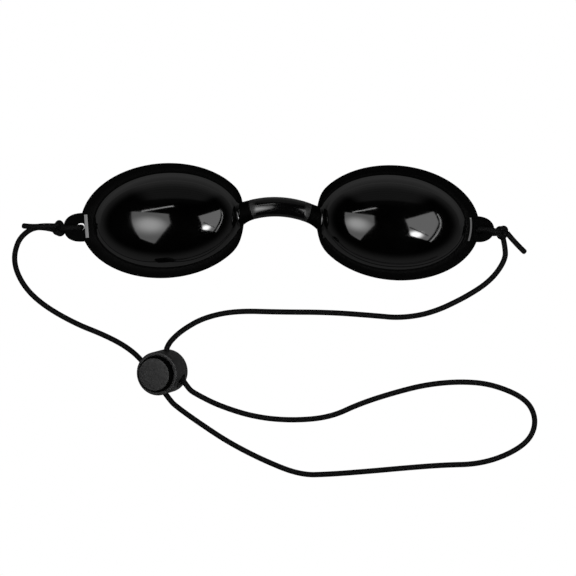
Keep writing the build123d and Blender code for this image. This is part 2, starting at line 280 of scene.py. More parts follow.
def fine_grain():
    """Two sizes of noise over Object coordinates: out come a grain height and a mottle."""
    tree, start, end = group(
        "fine_grain",
        [("Vector", "Vector", None), ("Grain Scale", "Float", 9000.0),
         ("Mottle Scale", "Float", 300.0)],
        [("Grain", "Float"), ("Mottle", "Float")],
    )
    grain = node(tree, "ShaderNodeTexNoise", Vector=start.outputs["Vector"],
                 Scale=start.outputs["Grain Scale"], Detail=3.0, Roughness=0.6)
    mottle = node(tree, "ShaderNodeTexNoise", Vector=start.outputs["Vector"],
                  Scale=start.outputs["Mottle Scale"], Detail=4.0, Roughness=0.55)
    tree.links.new(grain.outputs[0], end.inputs["Grain"])
    tree.links.new(mottle.outputs[0], end.inputs["Mottle"])
    return tree


def braid_weave():
    """Sixteen carriers over a sleeve: eight bands slant each way across the UV map, and at
    every crossing one goes over. Each band is a round yarn, highest along its middle."""
    tree, start, end = group(
        "braid_weave",
        [("Vector", "Vector", None), ("Bands", "Float", 8.0), ("Slant", "Float", 6.0)],
        [("Height", "Float")],
    )
    parts = node(tree, "ShaderNodeSeparateXYZ", Vector=start.outputs["Vector"])
    turn = reckon(tree, "MULTIPLY", parts.outputs["X"], start.outputs["Bands"])
    rise = reckon(tree, "MULTIPLY", parts.outputs["Y"], start.outputs["Slant"])
    cells, yarns = [], []
    for operation in ("ADD", "SUBTRACT"):
        phase = reckon(tree, operation, turn, rise)
        cells.append(reckon(tree, "FLOOR", phase))
        share = reckon(tree, "SUBTRACT", phase, cells[-1])
        centred = reckon(tree, "MULTIPLY_ADD", share, 2.0, -1.0)
        squared = reckon(tree, "MULTIPLY", centred, centred)
        yarns.append(reckon(tree, "SUBTRACT", 1.0, squared))
    parity = reckon(tree, "FLOORED_MODULO", reckon(tree, "ADD", *cells), 2.0)
    over, under = (
        node(tree, "ShaderNodeMix", data_type="FLOAT", i0=parity, i2=first, i3=second).outputs[0]
        for first, second in (yarns, yarns[::-1]))
    height = reckon(tree, "MULTIPLY", over, reckon(tree, "MULTIPLY_ADD", under, 0.45, 0.55))
    tree.links.new(height, end.inputs["Height"])
    return tree


grain_group = fine_grain()
braid_group = braid_weave()


def grained(name, grain, mottle, stretch=(1.0, 1.0, 1.0)):
    """A new material with the fine grain in it, at these scales, stretched along the axes:
    its node tree, the object's coordinates and the grain's two outputs."""
    material = bpy.data.materials.new(name)
    material.use_nodes = True
    tree = material.node_tree
    places = node(tree, "ShaderNodeTexCoord")
    spots = node(tree, "ShaderNodeMapping", Vector=places.outputs["Object"], Scale=stretch)
    texture = node(tree, "ShaderNodeGroup", node_tree=grain_group, Vector=spots.outputs[0],
                   Grain_Scale=grain, Mottle_Scale=mottle)
    return material, tree, places, texture.outputs["Grain"], texture.outputs["Mottle"]


def tones(tree, value, dark, light, stops=(0.0, 1.0)):
    """A colour that goes from dark to light while the value goes from stop to stop."""
    ramp = node(tree, "ShaderNodeValToRGB", Fac=value)
    for element, stop, tone in zip(ramp.color_ramp.elements, stops, (dark, light)):
        element.position = stop
        element.color = (*tone, 1.0)
    return ramp.outputs["Color"]


def dress(tree, colour, rough, height, strength, depth, specular=0.5, metallic=0.0):
    """Gives the material's shader its colour, its roughness and bumps of this height."""
    shader = tree.nodes["Principled BSDF"]
    bump = node(tree, "ShaderNodeBump", Height=height, Strength=strength, Distance=depth)
    tree.links.new(colour, shader.inputs["Base Color"])
    tree.links.new(rough, shader.inputs["Roughness"])
    tree.links.new(bump.outputs["Normal"], shader.inputs["Normal"])
    shader.inputs["Specular IOR Level"].default_value = specular
    shader.inputs["Metallic"].default_value = metallic


def cord_textile():
    """Black braided sleeve: the weave lifts the surface and its colour is painted darker between
    its yarns, a painted shade there, and fine fibres roughen it."""
    material, tree, places, fibre, mottle = grained("braided_black_textile", 14000.0, 900.0)
    weave = node(tree, "ShaderNodeGroup", node_tree=braid_group,
                 Vector=places.outputs["UV"]).outputs["Height"]
    # painted shade: darker where the weave is low, between the yarns, with the mottle's random
    # tone added
    tone = reckon(tree, "MULTIPLY_ADD", mottle, 0.5, weave)
    colour = tones(tree, tone, (0.0004, 0.0004, 0.0004), (0.0028, 0.0028, 0.0029), (0.1, 1.0))
    rough = reckon(tree, "MULTIPLY_ADD", mottle, 0.2, 0.58)
    relief = reckon(tree, "MULTIPLY_ADD", fibre, 0.35, weave)
    dress(tree, colour, rough, relief, 0.5, 0.00010, specular=0.10)
    return material


textile = cord_textile()


def cord_piece(name, line, reference=(0.0, 0.0, 1.0), rounded=(False, False)):
    """The braided tube of a cord along a line. A rounded end draws in as a quarter circle
    does, to a blunt tip, as a cut and singed end is."""
    singed, blunt = 0.8 * cord_radius, 0.3
    along = run_length(line)
    radius = np.full(len(line), cord_radius)
    for cut, distance in zip(rounded, (along, along[-1] - along)):
        if cut:
            share = np.clip(distance / singed, 0.0, 1.0)
            radius = radius * (blunt + (1.0 - blunt) * np.sqrt(1.0 - (1.0 - share) ** 2))
    rings = tube_rings(line, radius, np.array(reference))
    piece = skin(name, rings, uv=(along[-1] / (2 * np.pi * cord_radius), 1.0), crisp=80.0)
    piece.data.materials.append(textile)
    return piece


# each long piece of the cord: the bodies at its two ends, and where it starts to follow the
# second and follows it wholly
cord_runs = {
    "left_strand": (left_strand_route, "left_side", "lock",
                    (-0.0930, -0.0137, 0.0), (-0.0463, -0.0504, 0.0)),
    "right_strand_inner": (right_strand_inner_route, "left_side", "lock",
                           (0.00875, -0.03145, 0.0), (-0.0385, -0.0434, 0.0)),
    "right_strand_outer": (right_strand_outer_route, "left_side", "right_side",
                           (0.00875, -0.03145, 0.0), (0.0787, -0.0078, 0.0)),
    "adjusting_loop": (adjusting_loop_route, "lock", "left_side",
                       (-0.0340, -0.0610, 0.0), (0.0405, -0.0720, 0.0)),
}
row_spacing = 0.0003
cord_lines, cord_braids = {}, {}
for title, (route, first_body, second_body, start, end) in cord_runs.items():
    cord_lines[title] = even_rows(cord_line(title, route), row_spacing)
    braid = cord_piece(title + "_braid", cord_lines[title])
    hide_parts(title)
    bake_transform(braid)
    cord_braids[title] = braid

# The cord's turns through the ears and its short cut tails, of the same braided cord. The
# turn goes over the ear's bar, down the hole and back under it, and is held by the knot.
cup_middle = 40.2
cup_turn = np.radians(4.65)


def cup_place(points, side):
    """From a cup's own millimetres, x out to the temple and y to the forehead, to the row
    frame in metres. side is 1 for the right cup and -1 for the left one, its mirror."""
    points = np.asarray(points, float)
    x, y, z = points[..., 0], points[..., 1], points[..., 2]
    across = side * (cup_middle + x * np.cos(cup_turn) + y * np.sin(cup_turn))
    return np.stack([across, y * np.cos(cup_turn) - x * np.sin(cup_turn), z], axis=-1) * 0.001


left_hitch_route = [
    (36.8, 0.0, 3.0),
    (35.5, -0.2, 4.7),
    (29.1, -0.2, 4.7),
    (29.1, -0.2, 0.97),
    (35.5, -0.2, 0.97),
    (36.8, 0.0, 1.7),
]
right_hitch_route = [
    (36.8, 0.0, 3.0),
    (35.5, 0.3, 4.7),
    (28.75, 0.7, 4.7),
    (28.75, -0.7, 0.97),
    (35.5, -0.6, 0.97),
    (36.8, 0.0, 1.7),
]
left_tail_route = [
    (-0.0780, -0.0023, 0.0031),
    (-0.0815, -0.0021, 0.0030),
    (-0.0864, -0.0027, 0.00295),
    (-0.0900, -0.0022, 0.0029),
]
right_tail_route = [
    (0.0792, -0.0032, 0.0029),
    (0.0819, -0.0064, 0.0020),
    (0.0859, -0.0100, cord_lay),
]

hitch_spacing, tail_spacing = 0.00015, 0.0001
for title, side, body, route in (
    ("left", -1, "left_side", left_hitch_route),
    ("right", 1, "right_side", right_hitch_route),
):
    turn_line = cord_line(title + "_ear_hitch", cup_place(route, side).tolist())
    outwards = cup_place([(0.0, 1.0, 0.0)], side)[0] - cup_place([(0.0, 0.0, 0.0)], side)[0]
    hitch = cord_piece(title + "_ear_hitch_braid", even_rows(turn_line, hitch_spacing), outwards)
    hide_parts(title + "_ear_hitch")
    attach(hitch, body)

for title, body, route in (
    ("left", "left_side", left_tail_route),
    ("right", "right_side", right_tail_route),
):
    tail_line = even_rows(cord_line(title + "_tail", route), tail_spacing)
    tail = cord_piece(title + "_tail_braid", tail_line, rounded=(False, True))
    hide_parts(title + "_tail")
    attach(tail, body)

# The two knots: the cord itself, tied in an overhand knot outside each ear and pulled
# tight, so its three turns press into one another.
yarn = 0.86
knot_start, knot_lift = 34.9, 0.1
lobe_depth, knot_rows = 0.42, 264


def knot_rings(middle, half_size, tilt, side):
    """A three-lobed knot: its line goes round twice, and on the way it comes near the middle
    three times and rises and falls three times. half_size is half the lump in the cup's
    frame, and tilt turns the lobes round in the plane of the table."""
    turn = np.linspace(0.0, 2 * np.pi, knot_rows, endpoint=False)
    reach = 1.0 + lobe_depth * np.cos(3 * turn)
    flat = np.stack([reach * np.cos(2 * turn + tilt), reach * np.sin(2 * turn + tilt),
                     np.sin(3 * turn)], axis=1)
    room = np.array(half_size) - yarn
    extent = (flat.max(axis=0) - flat.min(axis=0)) / 2
    centre = (flat.max(axis=0) + flat.min(axis=0)) / 2
    line = (flat - centre) / extent * room
    along = unit(np.roll(line, -1, axis=0) - np.roll(line, 1, axis=0))
    away = line / np.array(half_size) ** 2
    first = unit(away - along * np.sum(away * along, axis=1, keepdims=True))
    second = np.cross(along, first)
    round_turn = np.linspace(0.0, 2 * np.pi, 20, endpoint=False)[None, :, None]
    rings = line[:, None] + yarn * (
        first[:, None] * np.cos(round_turn) + second[:, None] * np.sin(round_turn))
    length = np.sum(np.linalg.norm(np.diff(line, axis=0), axis=1))
    return cup_place(rings + np.array(middle), side), length / (2 * np.pi * yarn)


for title, side, body, size, tilt in (
    ("left", -1, "left_side", (4.7, 5.8, 4.0), 1.9),
    ("right", 1, "right_side", (4.7, 5.0, 4.0), 0.7),
):
    half = [value / 2 for value in size]
    middle = (knot_start + half[0], 0.0, knot_lift + half[2])
    rings, turns = knot_rings(middle, half, tilt, side)
    knot = skin(title + "_knot_tied", rings, ends="loop", turned=side < 0, crisp=80.0,
                uv=(turns, 1.0))
    knot.data.materials.append(textile)
    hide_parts(title + "_knot")
    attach(knot, body)

# The eyecups: one injection-moulded shell each, of glossy black plastic that lets no light
# through: a flat rim, a domed front, an ear for the cord and a stub for the nose bridge.
rim_half = (29.3, 20.0)
rim_height = 4.1
rim_round = 0.5
dome_half = (25.9, 17.0)
dome_rise = 13.0
dome_shift = -0.9
wall = 1.5
mouth_half = (25.8, 17.8)
mouth_shift = -0.3
mouth_round, mouth_lip = 0.2, 0.3
hole_start, hole_end, hole_half, hole_corner = 28.0, 30.6, 1.2, 0.7
# the nose end is flattened by an arc, with a small round where it meets the oval
nose_arc, nose_arc_middle, nose_blend = 25.0, np.array([-2.7, 1.2]), 0.8
ramp_half, ramp_fade, ramp_slope = 4.05, 4.0, 0.105
ramp_row_at, ramp_ends, bow_fade = 25.4, 28.4, 1.6
ear_floor, ear_top = 2.1, 3.6
# lines this close on each side of an edge keep it crisp, the band starts this far outside
# the dome, and the shell stays this far under the ear that lies on it
edge_gap, row_gap, foot_gap, under_ear = 0.02, 0.03, 0.05, 0.05
# the two ears came out of their moulds a little different: where the shiny slope by the ear
# starts and ends, how much it bows, and the ear's tip, half width, sideways shift and power
ear_forms = {
    -1: (26.7, 27.8, 0.0, 35.3, 5.0, -0.25, 2.35),
    1: (26.0, 26.6, 0.45, 34.5, 4.5, 0.4, 2.1),
}


def smooth(share):
    """0 below 0, 1 above 1, and an S-shaped rise between them."""
    share = np.clip(share, 0.0, 1.0)
    return share * share * (3 - 2 * share)


def halved(inside, count, reach):
    """For each of count lines, how far it goes, up to reach, while inside(way) holds: the
    span that holds the place is halved again and again."""
    low, high = np.zeros(count), np.full(count, reach)
    for _ in range(40):
        half = (low + high) / 2
        holds = inside(half)
        low, high = np.where(holds, half, low), np.where(holds, high, half)
    return low


# columns round the cup, one a degree from the temple end, with pairs at the ramp's sides and
# the hole's, so that those edges are crisp, and three more by the notch's corner
edges = np.degrees(np.arcsin(np.array([
    ramp_half - edge_gap, ramp_half + edge_gap, hole_half - edge_gap, hole_half + edge_gap,
    0.8, 1.1, 1.35]) / rim_half[1]))
columns = np.radians(np.unique(
    np.concatenate([np.arange(0.0, 360.0, 1.0), edges, 360.0 - edges])))
rim_across = rim_half[1] * np.sin(columns)
temple_side = np.cos(columns) > 0
straight_half, straight_fade = 6.0, 7.0
near_ear = 1.0 - smooth((np.abs(rim_across) - straight_half) / straight_fade)
near_ear = np.where(temple_side, near_ear, 0.0)
crown_half, crown_fade = 13.0, 3.0


def level(half, shift):
    """An oval of a cup: half is its half length and half width. Near the ear its points keep
    the rim's distance from the cup's line, unless the oval is near the dome's crown, and
    elsewhere they keep the rim's turn."""
    straight = np.arcsin(np.clip(rim_across / half[1], -1.0, 1.0))
    turn = np.where(columns > np.pi, columns - 2 * np.pi, columns)
    turn = turn + near_ear * smooth((half[1] - crown_half) / crown_fade) * (straight - turn)
    return np.stack([half[0] * np.cos(turn) + shift, half[1] * np.sin(turn)], axis=-1)


def rim_line(inset):
    """The rim's outline, set in by inset: the nearer of the oval and the nose end's arc,
    with a small round between, notched at the ear's hole."""
    oval = level((rim_half[0] - inset, rim_half[1] - inset), 0.0)
    turn = np.arctan2(oval[:, 1], oval[:, 0])
    reach = np.hypot(oval[:, 0], oval[:, 1])
    direction = np.stack([np.cos(turn), np.sin(turn)], axis=-1)
    towards = direction @ nose_arc_middle
    arc = towards + np.sqrt(
        towards**2 - nose_arc_middle @ nose_arc_middle + (nose_arc - inset) ** 2)
    arc = np.where(oval[:, 0] < nose_arc_middle[0], arc, np.inf)
    share = np.clip(nose_blend - np.abs(reach - arc), 0.0, None) / nose_blend
    reach = np.minimum(reach, arc) - share**2 * nose_blend / 4
    outline = direction * reach[:, None]
    corner = np.clip(np.abs(rim_across) - (hole_half - hole_corner), 0.0, hole_corner)
    notch = hole_start + hole_corner - np.sqrt(hole_corner**2 - corner**2)
    cut = temple_side & (np.abs(rim_across) < hole_half)
    outline[:, 0] = np.where(cut, np.minimum(outline[:, 0], notch), outline[:, 0])
    return outline


def ring(outline, height):
    """An outline's flat points with their heights, or with one height for them all."""
    return np.concatenate([outline, np.broadcast_to(height, (len(outline),))[:, None]], axis=1)


top_lift, dome_rows, hollow_rows, side_rows = 88.5, 76, 40, 8
quarter = np.radians([0.0, 22.5, 45.0, 67.5, 90.0])
# painted reflection: the shell's colour is painted lighter near the dome's foot, for the white
# table that the foot reflects; on the dome this fades out by this many degrees up, and on
# the band over these rows
painted_reflection_lift, painted_reflection_fade = 24.0, (1.0, 0.6, 0.15, 0.15)


def cup_shell(side):
    """Rings from the dome's top down to the band, over the rim's round edge, under it,
    and up inside to the hollow's top. Out come the rings, which faces are textured and how
    much painted reflection lightens each point."""
    ramp_start, ramp_end, ramp_bow = ear_forms[side][:3]
    rings = []
    lifts = np.linspace(top_lift, 0.0, dome_rows)
    for lift in np.radians(lifts):
        share = (dome_half[0] * np.cos(lift), dome_half[1] * np.cos(lift))
        rings.append(ring(level(share, dome_shift), rim_height + dome_rise * np.sin(lift)))
    band_row = len(rings) - 1
    inner = level((dome_half[0] + foot_gap, dome_half[1] + foot_gap), dome_shift)
    outer = rim_line(rim_round)
    within = temple_side & (np.abs(rim_across) < ramp_half)
    blend_out = 1 - smooth((np.abs(rim_across) - ramp_half) / ramp_fade)
    blend_out = np.where(temple_side, blend_out, 0.0)
    middle_inner, middle_outer = inner[0, 0], rim_half[0] - rim_round
    bow = ramp_bow * np.clip(rim_across / ramp_half, -1.0, 1.0) ** 2
    steps = (ramp_row_at, ramp_start - row_gap, ramp_start, (ramp_start + ramp_end) / 2,
             ramp_end, ramp_end + row_gap, hole_start - row_gap, hole_start + edge_gap,
             ramp_ends)
    for reach in steps:
        plain = (reach - middle_inner) / (middle_outer - middle_inner)
        bowed = reach - bow * smooth((ramp_ends - reach) / bow_fade)
        exact = (bowed - inner[:, 0]) / (outer[:, 0] - inner[:, 0] + 1e-9)
        exact = np.clip(exact, 0.0, 1.0)
        share = plain + blend_out * (exact - plain)
        outline = inner + share[:, None] * (outer - inner)
        lowered = rim_height - max(reach - ramp_start, 0.0) * ramp_slope
        if reach > ramp_end:
            lowered = ear_top - under_ear
        rings.append(ring(outline, np.where(within, lowered, rim_height)))
    ramp_row = band_row + 3
    top = np.where(within, ear_top - under_ear, rim_height)
    notched = temple_side & (np.abs(rim_across) < hole_half)
    for turn in quarter:
        inset = np.where(notched, 0.0, rim_round * (1 - np.sin(turn)))
        outline = outer + (rim_line(0.0) - outer) * (1 - inset / rim_round)[:, None]
        rings.append(ring(outline, top - rim_round * (1 - np.cos(turn))))
    for turn in quarter[::-1]:
        inset = rim_round * (1 - np.sin(turn))
        outline = outer + (rim_line(0.0) - outer) * (1 - inset / rim_round)
        rings.append(ring(outline, rim_round * (1 - np.cos(turn))))
    mouth_row = len(rings)
    lip = (mouth_half[0] + mouth_lip, mouth_half[1] + mouth_lip)
    rings.append(ring(level(lip, mouth_shift), 0.0))
    for turn in np.radians([0.0, 30.0, 60.0, 90.0]):
        grow = mouth_round * (1 - np.sin(turn))
        half = (mouth_half[0] + grow, mouth_half[1] + grow)
        rings.append(ring(level(half, mouth_shift), mouth_round * (1 - np.cos(turn))))
    hollow = (dome_half[0] - wall, dome_half[1] - wall)
    for share in np.linspace(0.1, 1.0, side_rows):
        half = tuple(m + share * (h - m) for m, h in zip(mouth_half, hollow))
        rings.append(ring(level(half, mouth_shift + share * (dome_shift - mouth_shift)),
                          rim_height * share))
    for lift in np.radians(np.linspace(3.0, top_lift, hollow_rows)):
        share = (hollow[0] * np.cos(lift), hollow[1] * np.cos(lift))
        height = rim_height + (dome_rise - wall) * np.sin(lift)
        rings.append(ring(level(share, dome_shift), height))
    matt = np.zeros((len(rings) - 1, len(columns)), np.int32)
    matt[band_row:mouth_row] = 1
    matt[ramp_row:ramp_row + 2, within] = 0
    # painted reflection: 1 at the dome's foot, fading out up the dome and over the band's first
    # rows
    foot = np.zeros((len(rings), len(columns)))
    foot[:band_row + 1] = (1.0 - smooth(lifts / painted_reflection_lift))[:, None]
    foot[band_row:band_row + len(painted_reflection_fade)] = np.array(painted_reflection_fade)[:, None]
    return np.array(rings), matt.ravel(), foot.ravel()


ear_root, ear_tip_start, ear_reach = 26.9, 28.9, 12.0
ear_corner, ear_top_inset, hole_round, hole_power = 0.35, 0.9, 0.12, 2.6


def ear_plate(side):
    """A closed band round the ear's hole: its section goes from the hole's top edge over
    the rounded outer edge, under the plate and up the hole's wall. Outside, the ear ends
    in half an oval of some power about 2, and inside the rim it ends square."""
    ear_tip, ear_half, ear_shift, power = ear_forms[side][3:]
    turn = np.radians(np.arange(0.0, 360.0, 3.0))
    hole_middle = (hole_start + hole_end) / 2
    direction = np.stack([np.cos(turn), np.sin(turn)], axis=-1)

    def outline(inset):
        """Where each ray from the hole's middle leaves the ear, set in by inset."""
        def inside(way):
            """Whether a point this far along its ray is in the oval and past the square end."""
            x = hole_middle + way * direction[:, 0]
            y = way * direction[:, 1] - ear_shift
            beyond = np.clip(x - ear_tip_start, 0.0, None) / (ear_tip - ear_tip_start - inset)
            oval = beyond**power + (np.abs(y) / (ear_half - inset)) ** power
            return (oval < 1.0) & (x > ear_root + inset)

        way = halved(inside, len(turn), ear_reach)
        return np.array([hole_middle, 0.0]) + direction * way[:, None]

    def hole():
        """The hole's rounded rectangle, as an oval of a power over 2."""
        half_length = (hole_end - hole_start) / 2
        reach = ((np.abs(direction[:, 0]) / half_length) ** hole_power
                 + (np.abs(direction[:, 1]) / hole_half) ** hole_power) ** (-1 / hole_power)
        return np.array([hole_middle, 0.0]) + direction * reach[:, None]

    opening = hole()
    eased = opening + direction * hole_round
    rings = [ring(opening, ear_top - hole_round), ring(eased, ear_top)]
    for inset in np.linspace(ear_top_inset, ear_corner, 3):
        rings.append(ring(outline(inset), ear_top))
    for face, sign, bends in ((ear_top, -1, (30.0, 60.0, 90.0)),
                              (ear_floor, 1, (90.0, 60.0, 30.0, 0.0))):
        for bend in np.radians(bends):
            rings.append(ring(outline(ear_corner * (1 - np.sin(bend))),
                              face + sign * ear_corner * (1 - np.cos(bend))))
    rings.append(ring(eased, ear_floor))
    rings.append(ring(opening, ear_floor + hole_round))
    return np.array(rings)


bridge_top = np.array([0.0, 4.9, 8.3])
bridge_radius = 26.0
bridge_lean = np.radians(40.0)
bridge_half = (6.8 / 2, 4.6 / 2)
stub_face_at = 10.0
bridge_face = np.arcsin(stub_face_at / bridge_radius)


def bridge_frame(turn):
    """The bridge's middle line and the two directions of its section, at a turn along its
    arc: at the arc's top one is level and the other upright, and they turn with the arc."""
    turn = np.asarray(turn, float)
    in_plane = np.array([0.0, np.cos(bridge_lean), np.sin(bridge_lean)])
    square = np.array([0.0, -np.sin(bridge_lean), np.cos(bridge_lean)])
    radial = np.sin(turn)[:, None] * np.array([1.0, 0.0, 0.0]) + np.cos(turn)[:, None] * in_plane
    middle = bridge_top - bridge_radius * in_plane + bridge_radius * radial
    across = radial * in_plane[1] + square * square[1]
    upright = radial * in_plane[2] + square * square[2]
    return middle, across, upright


askew_drop, askew_middle = 0.047, 1.3


def askew(points, side=1):
    """The bridge sits a little askew between the cups: it drops by askew_drop for each
    millimetre to the right of askew_middle. side is -1 for points that are mirrored
    afterwards."""
    drop = -askew_drop * (side * points[..., :1] - askew_middle)
    return points + drop * np.array([0.0, 1.0, 0.0])


stub_length, stub_reach, stub_fillet, least_run = 7.2, 9.0, 1.0, 0.15
stub_growth = (1.1, 0.9)
stub_edge, stub_rows, fillet_rows, bar_sides = 0.12, 12, 8, 96
pocket_half, pocket_depth = (2.3, 1.2), 2.9


def nose_stub(side):
    """The bar that stands out of the right cup towards the nose. It goes on along the
    bridge's arc while its oval section grows with the square of the way, into the dome. A
    round joins it to the cup: a curve of the second order from the bar to the dome through
    the line where they meet. Its end face has the pocket for the bridge's tongue."""
    turn = np.linspace(0.0, 2 * np.pi, bar_sides, endpoint=False)

    def at(run, grow=0.0, scale=1.0):
        """The points of the section's outline, each at its own way along the arc from the
        stub's face, with the section larger by grow."""
        run = np.broadcast_to(run, turn.shape)
        middle, across, upright = bridge_frame(bridge_face + run / bridge_radius)
        share = np.clip(run / stub_length, 0.0, 1.0) ** 2
        wide = (bridge_half[0] + stub_growth[0] * share + grow) * scale * np.cos(turn)
        thick = (bridge_half[1] + stub_growth[1] * share + grow) * scale * np.sin(turn)
        return askew(middle + across * wide[:, None] + upright * thick[:, None], side)

    def surface(grow):
        """How far each line goes along the arc before it is in the dome."""
        def outside(run):
            """Whether a point of the bar is out of the dome, which is half an ellipsoid."""
            point = at(run, grow)
            x = (point[:, 0] - cup_middle) * np.cos(cup_turn) - point[:, 1] * np.sin(cup_turn)
            y = (point[:, 0] - cup_middle) * np.sin(cup_turn) + point[:, 1] * np.cos(cup_turn)
            up = np.clip((point[:, 2] - rim_height) / dome_rise, 0.0, 1.0)
            return ((x - dome_shift) / dome_half[0]) ** 2 + (y / dome_half[1]) ** 2 + up**2 >= 1

        return halved(outside, len(turn), stub_reach)

    def pocket(depth, scale):
        """The pocket's outline at a depth behind the stub's face."""
        middle, across, upright = bridge_frame([bridge_face + depth / bridge_radius])
        return askew(middle + across * (pocket_half[0] * scale * np.cos(turn))[:, None]
                     + upright * (pocket_half[1] * scale * np.sin(turn))[:, None], side)

    meet = surface(0.0)
    leave = np.clip(meet - stub_fillet, least_run, None)
    rings = [pocket(pocket_depth, 0.98), pocket(pocket_depth - 0.1, 1.0), pocket(0.0, 1.0),
             at(0.0, 0.0, 0.94), at(0.03, 0.0, 0.98), at(stub_edge)]
    for share in np.linspace(stub_edge, 1.0, stub_rows):
        rings.append(at(stub_edge + (leave - stub_edge) * share))
    textured_rows = len(rings)
    on_dome = surface(stub_fillet)
    first, corner, last = at(leave), at(meet), at(on_dome, stub_fillet)
    for share in np.linspace(1.0 / fillet_rows, 1.0, fillet_rows):
        rings.append(first * (1 - share) ** 2 + corner * 2 * share * (1 - share)
                     + last * share**2)
    # the last two rings lie inside the cup's wall
    rings.append(at(on_dome + 0.5, stub_fillet - 0.2))
    rings.append(at(meet + 0.6, -0.3))
    matt = np.zeros((len(rings) - 1, len(turn)), np.int32)
    matt[:textured_rows] = 1
    return np.array(rings) * 0.001, matt.ravel()


def join(pieces, name):
    """One object of several closed shells that touch, as one moulding."""
    with bpy.context.temp_override(active_object=pieces[0], selected_editable_objects=pieces,
                                   object=pieces[0]):
        bpy.ops.object.join()
    pieces[0].name = name
    pieces[0].data.name = name
    return pieces[0]


def painted_foot_reflection():
    """A painted reflection: a lighter colour near the dome's foot, where the attribute "foot" is
    1, painted in for the white table that the foot reflects. Out comes the colour."""
    tree, start, end = group(
        "painted_foot_reflection", [("Colour", "Color", None), ("Light", "Color", None)],
        [("Colour", "Color")])
    near = node(tree, "ShaderNodeAttribute", attribute_name="foot")
    mixed = node(tree, "ShaderNodeMix", data_type="RGBA", i0=near.outputs["Fac"],
                 i6=start.outputs["Colour"], i7=start.outputs["Light"])
    tree.links.new(mixed.outputs[2], end.inputs["Colour"])
    return tree


painted_reflection_group = painted_foot_reflection()


def cup_black(tree, mottle, light):
    """The moulding's black, mottled, and painted lighter by the dome's foot, up to the colour
    light, as a painted reflection.
    """
    black = tones(tree, mottle, (0.0003, 0.0003, 0.0003), (0.0009, 0.0009, 0.0009), (0.35, 0.75))
    return node(tree, "ShaderNodeGroup", node_tree=painted_reflection_group, Colour=black,
                Light=(light, light, light, 1.0)).outputs["Colour"]


def gloss_plastic():
    """Polished black plastic: nearly black, with the faint ripple of the mould in its
    reflection, and a little dust that dulls it in places."""
    material, tree, _, _, mottle = grained("polished_black_plastic", 4200.0, 110.0)
    rough = spread(tree, mottle, 0.3, 0.8, 0.05, 0.11)
    # the dome's foot is painted up to this colour, a painted reflection
    dress(tree, cup_black(tree, mottle, 0.009), rough, mottle, 0.25, 0.00004)
    return material


def satin_plastic():
    """The same plastic where the mould is textured, on the flat band and the ear: a fine
    even grain that takes nearly all the shine off."""
    material, tree, _, grain, mottle = grained("textured_black_plastic", 6500.0, 260.0)
    rough = spread(tree, mottle, 0.3, 0.8, 0.45, 0.6)
    # the band next to the dome's foot is painted up to this colour, a painted reflection
    dress(tree, cup_black(tree, mottle, 0.0045), rough, grain, 0.5, 0.00004, specular=0.015)
    return material


def set_finishes(mesh, which):
    """Gives the faces their material by number, in their order: where the list is shorter,
    the last ones, which close the ends, have the first material."""
    caps = np.zeros(len(mesh.polygons) - len(which), np.int32)
    mesh.polygons.foreach_set("material_index", np.concatenate([which, caps]))


polished, satin = gloss_plastic(), satin_plastic()
mirror_x = np.array([-1.0, 1.0, 1.0])
for title, side, body in (("left", -1, "left_side"), ("right", 1, "right_side")):
    flipped = side < 0
    shell_rings, shell_finish, shell_painted_reflection = cup_shell(side)
    shell = skin(title + "_shell", cup_place(shell_rings, side), turned=flipped, crisp=30.0)
    shell.data.materials.append(polished)
    shell.data.materials.append(satin)
    set_finishes(shell.data, shell_finish)
    # each point's share of the painted reflection, none at the two cap points
    foot = shell.data.attributes.new("foot", "FLOAT", "POINT")
    foot.data.foreach_set("value", np.append(shell_painted_reflection, [0.0, 0.0]).astype(np.float32))
    ear = skin(title + "_ear", cup_place(ear_plate(side), side), ends="loop", turned=flipped,
               crisp=35.0)
    ear.data.materials.append(satin)
    stub_rings, stub_finish = nose_stub(side)
    stub = skin(title + "_stub", stub_rings * (mirror_x if flipped else 1.0),
                turned=not flipped, crisp=35.0)
    stub.data.materials.append(polished)
    stub.data.materials.append(satin)
    set_finishes(stub.data, stub_finish)
    cup = join([shell, ear, stub], title + "_eyecup_moulding")
    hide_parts(title + "_eyecup")
    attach(cup, body)

# The nose bridge: a bar of soft glossy black plastic, bent round the nose, with a tongue
# at each end that is pressed into the pocket of the cup's stub.
shoulder_at, tongue_tip_at = 9.9, 12.8
tongue_half = (2.2, 1.1)
bar_rows, bar_step = 64, 0.012


def bridge_bar():
    """Oval sections along the bridge's arc, with a step down to the tongue at each end."""
    shoulder = np.arcsin(shoulder_at / bridge_radius)
    tip = np.arcsin(tongue_tip_at / bridge_radius)
    end = np.array([-tip, -tip + bar_step, -shoulder - bar_step / 6, -shoulder, -shoulder,
                    -shoulder + bar_step / 2])
    turn = np.concatenate([
        end, np.linspace(-shoulder + bar_step, shoulder - bar_step, bar_rows), -end[::-1]])
    size = np.concatenate([
        [0.9, 1.0, 1.0, 1.0], np.zeros(bar_rows + 4), [1.0, 1.0, 1.0, 0.9]])
    middle, across, upright = bridge_frame(turn)
    width = np.where(size > 0, tongue_half[0] * size, bridge_half[0])
    thick = np.where(size > 0, tongue_half[1] * size, bridge_half[1])
    trim = np.ones(len(turn))
    trim[[4, len(turn) - 5]] = 0.97
    spin = np.linspace(0.0, 2 * np.pi, bar_sides, endpoint=False)[None, :, None]
    rings = middle[:, None] + across[:, None] * (width * trim)[:, None, None] * np.cos(spin) + (
        upright[:, None] * (thick * trim)[:, None, None] * np.sin(spin))
    return askew(rings) * 0.001


